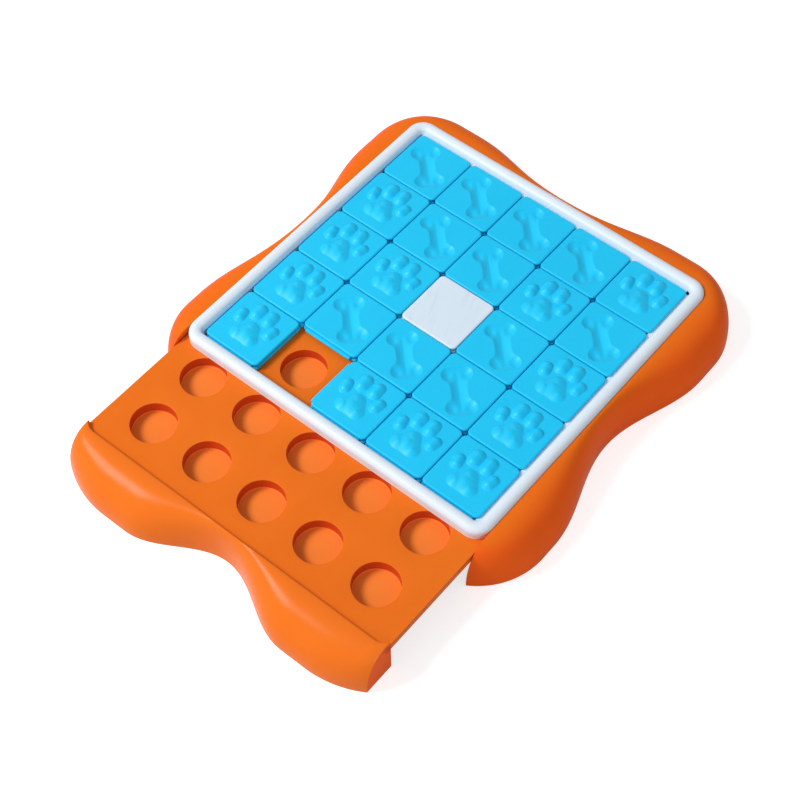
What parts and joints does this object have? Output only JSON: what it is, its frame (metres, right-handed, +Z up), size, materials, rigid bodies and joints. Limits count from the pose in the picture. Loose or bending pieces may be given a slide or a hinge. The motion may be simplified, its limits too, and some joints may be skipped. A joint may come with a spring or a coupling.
{
  "type": "dog puzzle feeder toy",
  "caption": "Lobed dog puzzle feeder with a sliding drawer of food wells under a framed field of captive sliding tiles.",
  "frame": {"origin": "on the floor under the middle of the tile field, at the underside of the middle rubber foot", "axes": "+Z up from the floor, -Y the way the drawer pulls out, +X to the right seen from the drawer's front"},
  "size_m": [0.284, 0.3718, 0.0365],
  "materials": {
    "orange_plastic": "moulded, fine satin",
    "white_plastic": "moulded, soft gloss",
    "blue_plastic": "moulded, satin",
    "foot_rubber": "matt",
    "screw_steel": "plain zinc"
  },
  "bodies": {
    "base": {"base_shell": "orange_plastic", "bottom_plate": "orange_plastic", "bottom_screws": "screw_steel", "rubber_feet": "foot_rubber", "frame": "white_plastic"},
    "drawer_body": {"drawer": "orange_plastic"},
    "b_r1_c1": {"tile_r1_c1": "blue_plastic"},
    "b_r1_c3": {"tile_r1_c3": "blue_plastic"},
    "b_r1_c4": {"tile_r1_c4": "blue_plastic"},
    "b_r1_c5": {"tile_r1_c5": "blue_plastic"},
    "b_r2_c1": {"tile_r2_c1": "blue_plastic"},
    "b_r2_c2": {"tile_r2_c2": "blue_plastic"},
    "b_r2_c3": {"tile_r2_c3": "blue_plastic"},
    "b_r2_c4": {"tile_r2_c4": "blue_plastic"},
    "b_r2_c5": {"tile_r2_c5": "blue_plastic"},
    "b_r3_c1": {"tile_r3_c1": "blue_plastic"},
    "b_r3_c2": {"tile_r3_c2": "blue_plastic"},
    "b_r3_c3": {"tile_r3_c3": "white_plastic"},
    "b_r3_c4": {"tile_r3_c4": "blue_plastic"},
    "b_r3_c5": {"tile_r3_c5": "blue_plastic"},
    "b_r4_c1": {"tile_r4_c1": "blue_plastic"},
    "b_r4_c2": {"tile_r4_c2": "blue_plastic"},
    "b_r4_c3": {"tile_r4_c3": "blue_plastic"},
    "b_r4_c4": {"tile_r4_c4": "blue_plastic"},
    "b_r4_c5": {"tile_r4_c5": "blue_plastic"},
    "b_r5_c1": {"tile_r5_c1": "blue_plastic"},
    "b_r5_c2": {"tile_r5_c2": "blue_plastic"},
    "b_r5_c3": {"tile_r5_c3": "blue_plastic"},
    "b_r5_c4": {"tile_r5_c4": "blue_plastic"},
    "b_r5_c5": {"tile_r5_c5": "blue_plastic"}
  },
  "joints": [
    {"name": "drawer_slide", "type": "slide", "parent": "base", "child": "drawer_body", "axis": [0, 1, 0], "range_m": [-0.1164, 0.0836]},
    {"name": "slide_r1_c1", "type": "slide", "parent": "base", "child": "b_r1_c1", "axis": [1, 0, 0], "range_m": [-0.00025, 0.00025]},
    {"name": "slide_r1_c3", "type": "slide", "parent": "base", "child": "b_r1_c3", "axis": [-1, 0, 0], "range_m": [0, 0.043]},
    {"name": "slide_r1_c4", "type": "slide", "parent": "base", "child": "b_r1_c4", "axis": [-1, 0, 0], "range_m": [0, 0.043]},
    {"name": "slide_r1_c5", "type": "slide", "parent": "base", "child": "b_r1_c5", "axis": [-1, 0, 0], "range_m": [0, 0.043]},
    {"name": "slide_r2_c1", "type": "slide", "parent": "base", "child": "b_r2_c1", "axis": [0, 1, 0], "range_m": [-0.00025, 0.00025]},
    {"name": "slide_r2_c2", "type": "slide", "parent": "base", "child": "b_r2_c2", "axis": [0, 1, 0], "range_m": [-0.043, 0]},
    {"name": "slide_r2_c3", "type": "slide", "parent": "base", "child": "b_r2_c3", "axis": [0, 1, 0], "range_m": [-0.00025, 0.00025]},
    {"name": "slide_r2_c4", "type": "slide", "parent": "base", "child": "b_r2_c4", "axis": [0, 1, 0], "range_m": [-0.00025, 0.00025]},
    {"name": "slide_r2_c5", "type": "slide", "parent": "base", "child": "b_r2_c5", "axis": [0, 1, 0], "range_m": [-0.00025, 0.00025]},
    {"name": "slide_r3_c1", "type": "slide", "parent": "base", "child": "b_r3_c1", "axis": [0, 1, 0], "range_m": [-0.00025, 0.00025]},
    {"name": "slide_r3_c2", "type": "slide", "parent": "base", "child": "b_r3_c2", "axis": [0, 1, 0], "range_m": [-0.043, 0]},
    {"name": "slide_r3_c3", "type": "slide", "parent": "base", "child": "b_r3_c3", "axis": [0, 1, 0], "range_m": [-0.00025, 0.00025]},
    {"name": "slide_r3_c4", "type": "slide", "parent": "base", "child": "b_r3_c4", "axis": [0, 1, 0], "range_m": [-0.00025, 0.00025]},
    {"name": "slide_r3_c5", "type": "slide", "parent": "base", "child": "b_r3_c5", "axis": [0, 1, 0], "range_m": [-0.00025, 0.00025]},
    {"name": "slide_r4_c1", "type": "slide", "parent": "base", "child": "b_r4_c1", "axis": [0, 1, 0], "range_m": [-0.00025, 0.00025]},
    {"name": "slide_r4_c2", "type": "slide", "parent": "base", "child": "b_r4_c2", "axis": [0, 1, 0], "range_m": [-0.043, 0]},
    {"name": "slide_r4_c3", "type": "slide", "parent": "base", "child": "b_r4_c3", "axis": [0, 1, 0], "range_m": [-0.00025, 0.00025]},
    {"name": "slide_r4_c4", "type": "slide", "parent": "base", "child": "b_r4_c4", "axis": [0, 1, 0], "range_m": [-0.00025, 0.00025]},
    {"name": "slide_r4_c5", "type": "slide", "parent": "base", "child": "b_r4_c5", "axis": [0, 1, 0], "range_m": [-0.00025, 0.00025]},
    {"name": "slide_r5_c1", "type": "slide", "parent": "base", "child": "b_r5_c1", "axis": [0, 1, 0], "range_m": [-0.00025, 0.00025]},
    {"name": "slide_r5_c2", "type": "slide", "parent": "base", "child": "b_r5_c2", "axis": [0, 1, 0], "range_m": [-0.043, 0]},
    {"name": "slide_r5_c3", "type": "slide", "parent": "base", "child": "b_r5_c3", "axis": [0, 1, 0], "range_m": [-0.00025, 0.00025]},
    {"name": "slide_r5_c4", "type": "slide", "parent": "base", "child": "b_r5_c4", "axis": [0, 1, 0], "range_m": [-0.00025, 0.00025]},
    {"name": "slide_r5_c5", "type": "slide", "parent": "base", "child": "b_r5_c5", "axis": [0, 1, 0], "range_m": [-0.00025, 0.00025]}
  ],
  "couplings": [
    {"joint": "slide_r1_c3", "follows": "slide_r1_c5", "ratio": 1},
    {"joint": "slide_r1_c4", "follows": "slide_r1_c5", "ratio": 1},
    {"joint": "slide_r2_c2", "follows": "slide_r5_c2", "ratio": 1},
    {"joint": "slide_r3_c2", "follows": "slide_r5_c2", "ratio": 1},
    {"joint": "slide_r4_c2", "follows": "slide_r5_c2", "ratio": 1}
  ]
}
